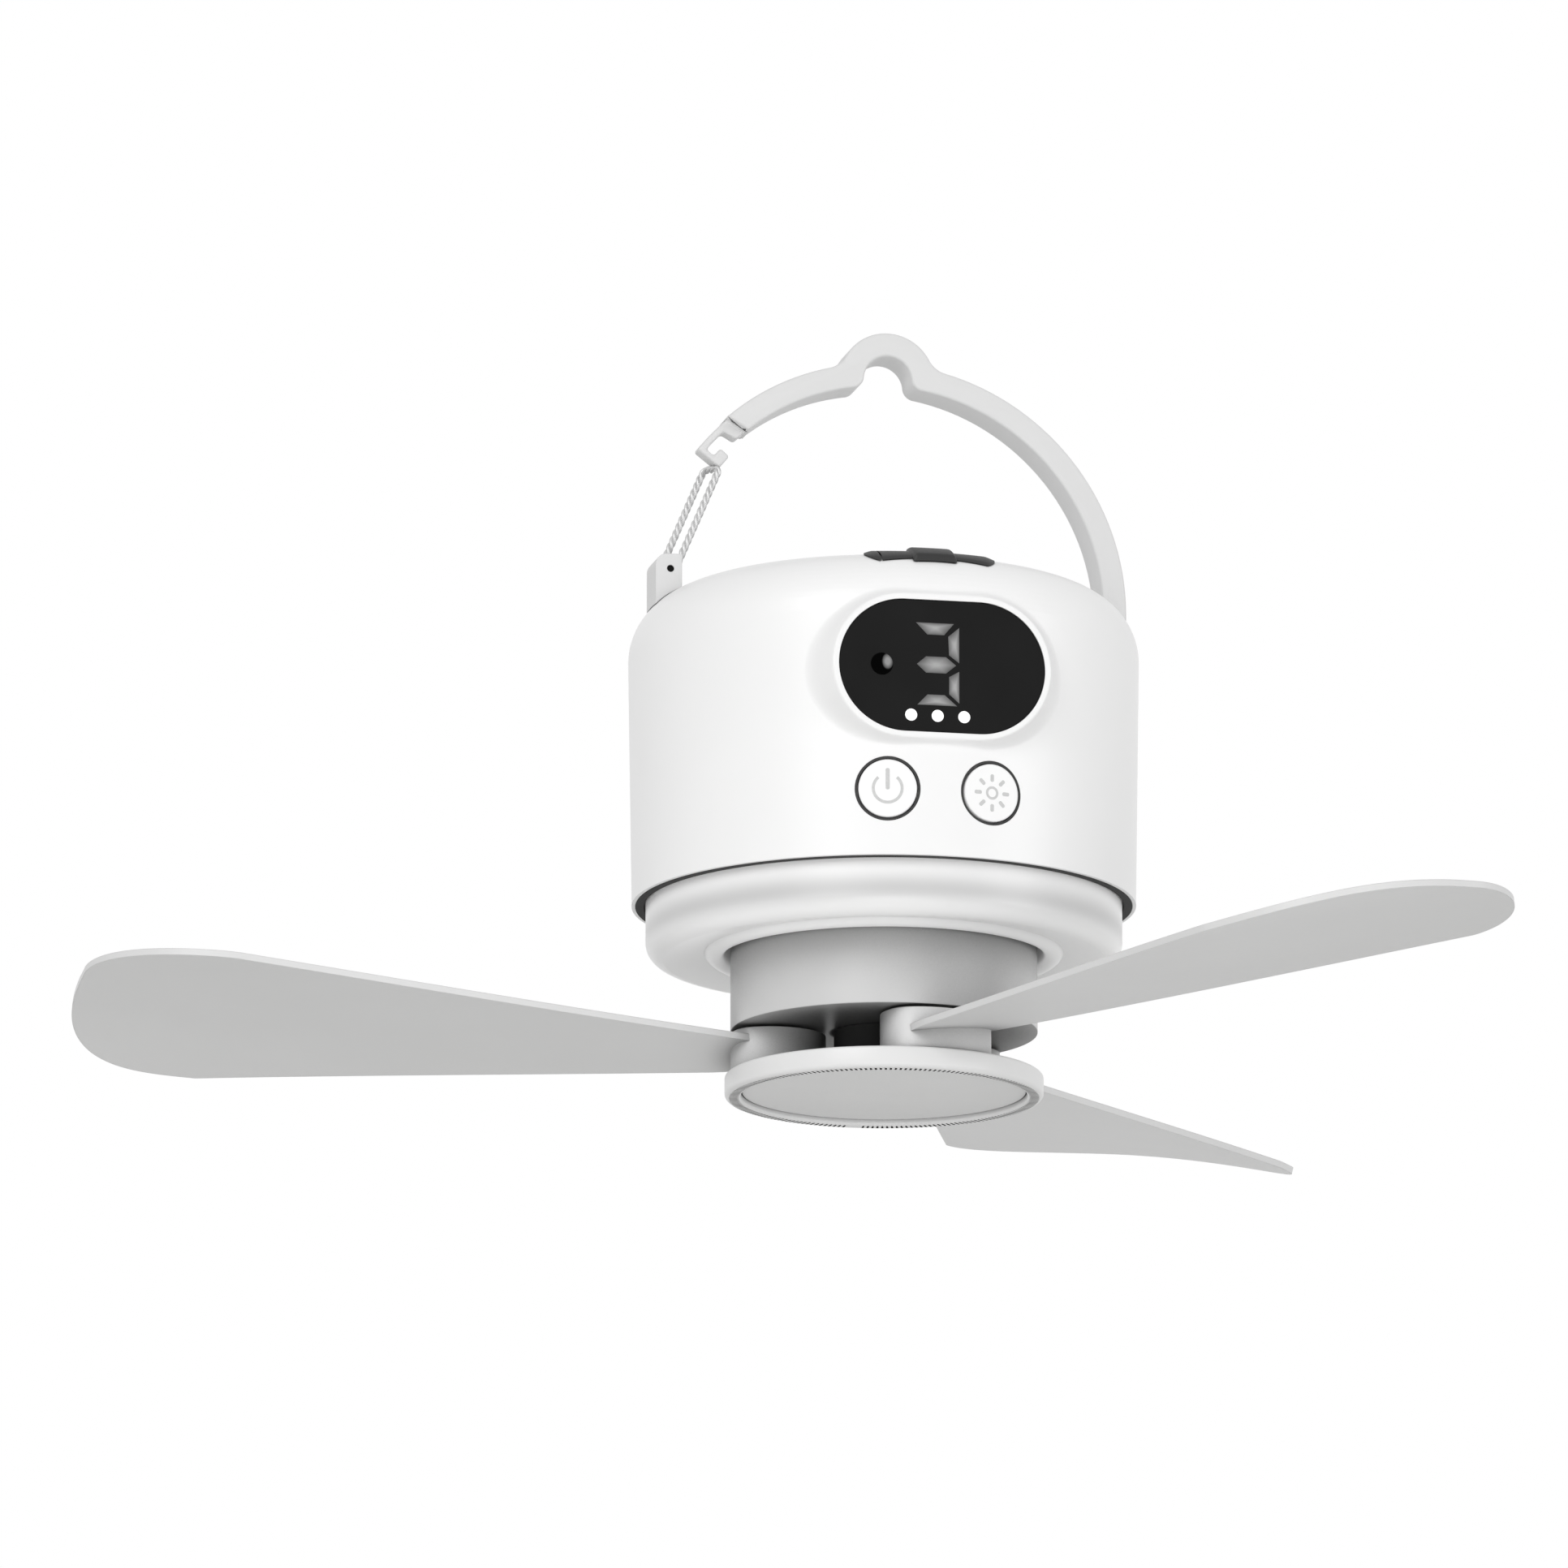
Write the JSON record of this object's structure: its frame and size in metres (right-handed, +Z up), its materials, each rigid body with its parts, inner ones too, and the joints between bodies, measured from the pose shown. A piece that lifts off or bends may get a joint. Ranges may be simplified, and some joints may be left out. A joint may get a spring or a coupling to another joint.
{
  "type": "portable camping fan",
  "caption": "Hanging battery fan: round body with display, buttons and ring light under an arched carabiner handle, and folding blades on a rotor below.",
  "frame": {"origin": "centre of the half-round hook seat at the crown of the handle", "axes": "+Z up along the rotor's axis, the display and buttons face -Y, the wire gate is at -X and the handle's solid foot at +X; +Y is the seat's axis"},
  "size_m": [0.3052, 0.3295, 0.1747],
  "materials": {
    "white_shell": "fine satin",
    "dark_plate": "matt",
    "steel": "satin",
    "handle_grey": "satin",
    "gate_wire": "bright",
    "dark_window": "tinted, gloss",
    "digit_grey": "matt",
    "led_white": "matt",
    "receiver_black": "gloss",
    "board_green": "lacquered",
    "button_white": "satin",
    "ring_grey": "matt",
    "switch_black": "matt",
    "black_rubber": "matt",
    "tray_black": "matt",
    "cell_sleeve": "sleeved",
    "board_white": "lacquered",
    "led_yellow": "gloss",
    "diffuser": "translucent satin",
    "mount_alloy": "cast",
    "stator_steel": "varnished",
    "copper": "enamelled",
    "hub_grey": "silver satin",
    "magnet": "matt",
    "washer_white": "matt",
    "cap_white": "satin",
    "disc_grey": "silver satin",
    "blade_grey": "satin"
  },
  "bodies": {
    "housing": {"housing_shell": "white_shell", "base_plate": "dark_plate", "housing_screws": "steel", "handle": "handle_grey", "gate_lug": "handle_grey", "handle_screws": "steel", "gate_pin": "steel", "display_window": "dark_window", "digit_module": "digit_grey", "status_leds": "led_white", "infrared_receiver": "receiver_black", "control_board": "board_green", "board_screws": "steel", "button_rings": "ring_grey", "button_switches": "switch_black", "cover_anchor": "black_rubber", "port_board": "board_green", "usb_c_socket": "steel", "usb_a_socket": "steel", "main_board": "board_green", "battery_tray": "tray_black", "battery_cells": "cell_sleeve", "led_board": "board_white", "light_diodes": "led_yellow", "light_diffuser": "diffuser", "motor_mount": "mount_alloy", "motor_screws": "steel", "stator_core": "stator_steel", "stator_windings": "copper", "shaft_bearings": "steel"},
    "power_button": {"power_button": "button_white"},
    "light_button": {"light_button": "button_white"},
    "port_cover": {"port_cover": "black_rubber"},
    "wire_gate": {"wire_gate": "gate_wire"},
    "rotor": {"rotor_hub": "hub_grey", "magnet_ring": "magnet", "rotor_shaft": "steel", "blade_pins": "steel", "blade_washers": "washer_white", "rotor_cap": "cap_white", "cap_screws": "steel", "cap_disc": "disc_grey"},
    "left_blade": {"left_blade": "blade_grey"},
    "front_blade": {"front_blade": "blade_grey"},
    "back_blade": {"back_blade": "blade_grey"}
  },
  "joints": [
    {"name": "power_button_press", "type": "slide", "parent": "housing", "child": "power_button", "axis": [0.2077, 0.9782, 0], "range_m": [0, 0.0007], "stiffness_N_per_m": 500, "springref_m": -0.001},
    {"name": "light_button_press", "type": "slide", "parent": "housing", "child": "light_button", "axis": [-0.2077, 0.9782, 0], "range_m": [0, 0.0007], "stiffness_N_per_m": 500, "springref_m": -0.001},
    {"name": "port_cover_hinge", "type": "hinge", "parent": "housing", "child": "port_cover", "pos_m": [-0.012, -0.0459, -0.04891], "axis": [0, -0.9744, -0.225], "range_deg": [0, 100]},
    {"name": "wire_gate_hinge", "type": "hinge", "parent": "housing", "child": "wire_gate", "pos_m": [-0.0499, 0, -0.046], "axis": [0, 1, 0], "range_deg": [0, 28], "stiffness_Nm_per_rad": 0.01, "springref_deg": -20.05},
    {"name": "rotor_spin", "type": "hinge", "parent": "housing", "child": "rotor", "pos_m": [0, 0, -0.135], "axis": [0, 0, 1], "continuous": true},
    {"name": "left_blade_fold", "type": "hinge", "parent": "rotor", "child": "left_blade", "pos_m": [-0.02442, 0.007, -0.1539], "axis": [0, 0, 1], "range_deg": [-5, 84]},
    {"name": "front_blade_fold", "type": "hinge", "parent": "rotor", "child": "front_blade", "pos_m": [0.00615, -0.02465, -0.1539], "axis": [0, 0, 1], "range_deg": [-5, 84]},
    {"name": "back_blade_fold", "type": "hinge", "parent": "rotor", "child": "back_blade", "pos_m": [0.01827, 0.01764, -0.1539], "axis": [0, 0, 1], "range_deg": [-5, 84]}
  ]
}
